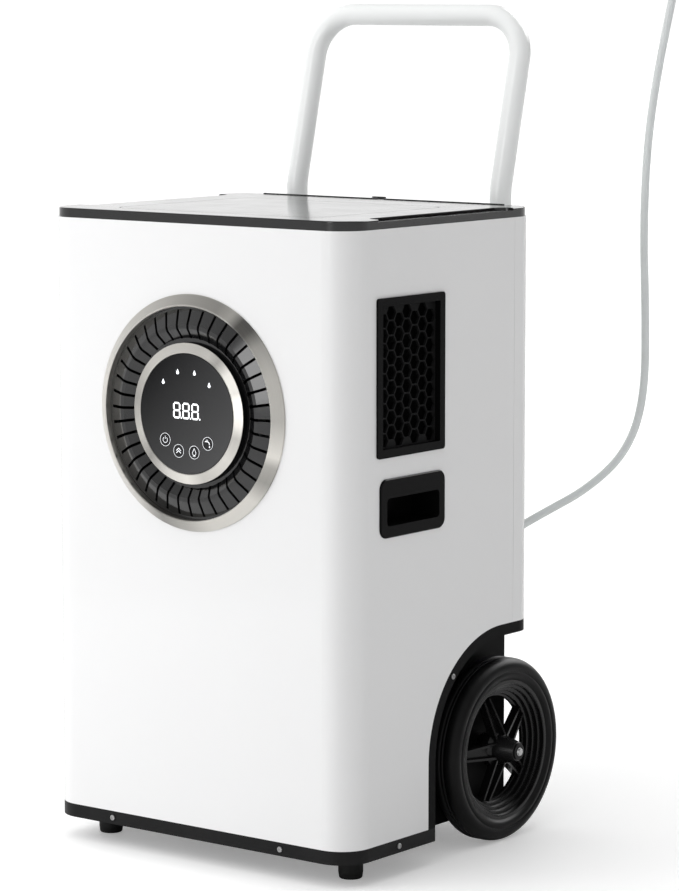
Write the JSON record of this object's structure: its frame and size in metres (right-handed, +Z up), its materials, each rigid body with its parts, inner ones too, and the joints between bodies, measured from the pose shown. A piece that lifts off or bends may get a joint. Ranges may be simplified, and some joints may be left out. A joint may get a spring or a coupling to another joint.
{
  "type": "dehumidifier",
  "caption": "Wheeled compressor dehumidifier: white sheet cabinet, round front outlet around a control panel, side grilles and grips, tilted tube handle and a pump drain hose.",
  "frame": {"origin": "on the floor, in the middle of the box round the machine without its drain hose", "axes": "+Z up, front outlet towards -Y, +X to the right seen from the front, along the wheels' axle"},
  "size_m": [0.5144, 0.6828, 1.1072],
  "materials": {
    "white_paint": "gloss white powder coat",
    "handle_paint": "satin off-white powder coat",
    "black_gloss": "polished black plastic",
    "black_satin": "fine textured black plastic",
    "brushed_nickel": "brushed, warm grey",
    "panel_glass": "smoked, gloss",
    "key_black": "smooth",
    "light_white": "lit light pipe",
    "board_green": "circuit board",
    "tyre_rubber": "ribbed black rubber",
    "foot_rubber": "matte",
    "wheel_plastic": "moulded black",
    "zinc_steel": "zinc plated",
    "screw_steel": "plated screw heads",
    "filter_plastic": "black frame",
    "filter_cloth": "fine nylon mesh",
    "hose_vinyl": "clear vinyl",
    "aluminium_fin": "mill finish",
    "copper": "drawn copper tube",
    "compressor_black": "black enamel",
    "tank_plastic": "natural plastic",
    "fan_plastic": "black fan blades"
  },
  "bodies": {
    "cabinet": {"axle": "zinc_steel", "axle_brackets": "zinc_steel", "axle_ends": "zinc_steel", "base_tray": "black_satin", "cabinet_shell": "white_paint", "case_screws": "screw_steel", "compressor": "compressor_black", "compressor_feet": "foot_rubber", "condenser_coil": "aluminium_fin", "control_board": "board_green", "control_box": "black_satin", "drain_hose": "hose_vinyl", "drain_port": "black_satin", "drip_tray": "tank_plastic", "evaporator_coil": "aluminium_fin", "fan_motor": "compressor_black", "fan_shroud": "zinc_steel", "filter_drier": "copper", "filter_rails": "filter_plastic", "front_feet": "foot_rubber", "grip_cups": "black_gloss", "handle_sleeves": "black_satin", "hose_fitting": "black_satin", "hose_hook": "black_satin", "indicator_lights": "light_white", "inner_hoses": "hose_vinyl", "louvre": "black_gloss", "lower_rear_panel": "black_satin", "mains_inlet": "black_satin", "mid_deck": "zinc_steel", "motor_bracket": "zinc_steel", "outlet_ring": "brushed_nickel", "panel_board": "board_green", "panel_glass": "panel_glass", "pod_housing": "black_satin", "pod_ring": "brushed_nickel", "pump": "tank_plastic", "pump_tank": "tank_plastic", "rear_panel": "white_paint", "refrigerant_pipes": "copper", "run_capacitor": "aluminium_fin", "side_grilles": "black_gloss", "top_cover": "black_gloss", "wheel_arches": "black_satin"},
    "wheel_left": {"wheel_rim_left": "wheel_plastic", "wheel_tyre_left": "tyre_rubber"},
    "wheel_right": {"wheel_rim_right": "wheel_plastic", "wheel_tyre_right": "tyre_rubber"},
    "fan": {"fan_impeller": "fan_plastic"},
    "handle": {"handle_tube": "handle_paint"},
    "knob_left": {"knob_left": "black_satin"},
    "knob_right": {"knob_right": "black_satin"},
    "key_power": {"key_power": "key_black"},
    "key_up": {"key_up": "key_black"},
    "key_dry": {"key_dry": "key_black"},
    "key_pump": {"key_pump": "key_black"},
    "filter": {"filter_frame": "filter_plastic", "filter_mesh": "filter_cloth"},
    "float": {"pump_float": "tank_plastic"},
    "drain_cap": {"drain_cap": "black_satin"}
  },
  "joints": [
    {"name": "wheel_left_spin", "type": "hinge", "parent": "cabinet", "child": "wheel_left", "pos_m": [-0.213, 0.09693, 0.1141], "axis": [1, 0, 0], "continuous": true},
    {"name": "wheel_right_spin", "type": "hinge", "parent": "cabinet", "child": "wheel_right", "pos_m": [0.213, 0.09693, 0.1141], "axis": [1, 0, 0], "continuous": true},
    {"name": "fan_spin", "type": "hinge", "parent": "cabinet", "child": "fan", "pos_m": [0, -0.05307, 0.5485], "axis": [0, 1, 0], "continuous": true},
    {"name": "handle_rise", "type": "slide", "parent": "cabinet", "child": "handle", "axis": [0, 0, 1], "range_m": [0, 0.14]},
    {"name": "knob_left_turn", "type": "hinge", "parent": "cabinet", "child": "knob_left", "pos_m": [-0.1355, 0.17443, 0.722], "axis": [1, 0, 0], "range_deg": [0, 360]},
    {"name": "knob_right_turn", "type": "hinge", "parent": "cabinet", "child": "knob_right", "pos_m": [0.1355, 0.17443, 0.722], "axis": [-1, 0, 0], "range_deg": [0, 360]},
    {"name": "key_power_press", "type": "slide", "parent": "cabinet", "child": "key_power", "axis": [0, 1, 0], "range_m": [0, 0.0006], "stiffness_N_per_m": 400, "springref_m": -0.0005},
    {"name": "key_up_press", "type": "slide", "parent": "cabinet", "child": "key_up", "axis": [0, 1, 0], "range_m": [0, 0.0006], "stiffness_N_per_m": 400, "springref_m": -0.0005},
    {"name": "key_dry_press", "type": "slide", "parent": "cabinet", "child": "key_dry", "axis": [0, 1, 0], "range_m": [0, 0.0006], "stiffness_N_per_m": 400, "springref_m": -0.0005},
    {"name": "key_pump_press", "type": "slide", "parent": "cabinet", "child": "key_pump", "axis": [0, 1, 0], "range_m": [0, 0.0006], "stiffness_N_per_m": 400, "springref_m": -0.0005},
    {"name": "filter_lift", "type": "slide", "parent": "cabinet", "child": "filter", "axis": [0, 0, 1], "range_m": [0, 0.45]},
    {"name": "float_rise", "type": "slide", "parent": "cabinet", "child": "float", "axis": [0, 0, 1], "range_m": [0, 0.03]},
    {"name": "drain_cap_turn", "type": "hinge", "parent": "cabinet", "child": "drain_cap", "pos_m": [0.1, 0.15843, 0.07], "axis": [0, 1, 0], "range_deg": [0, 720]}
  ]
}
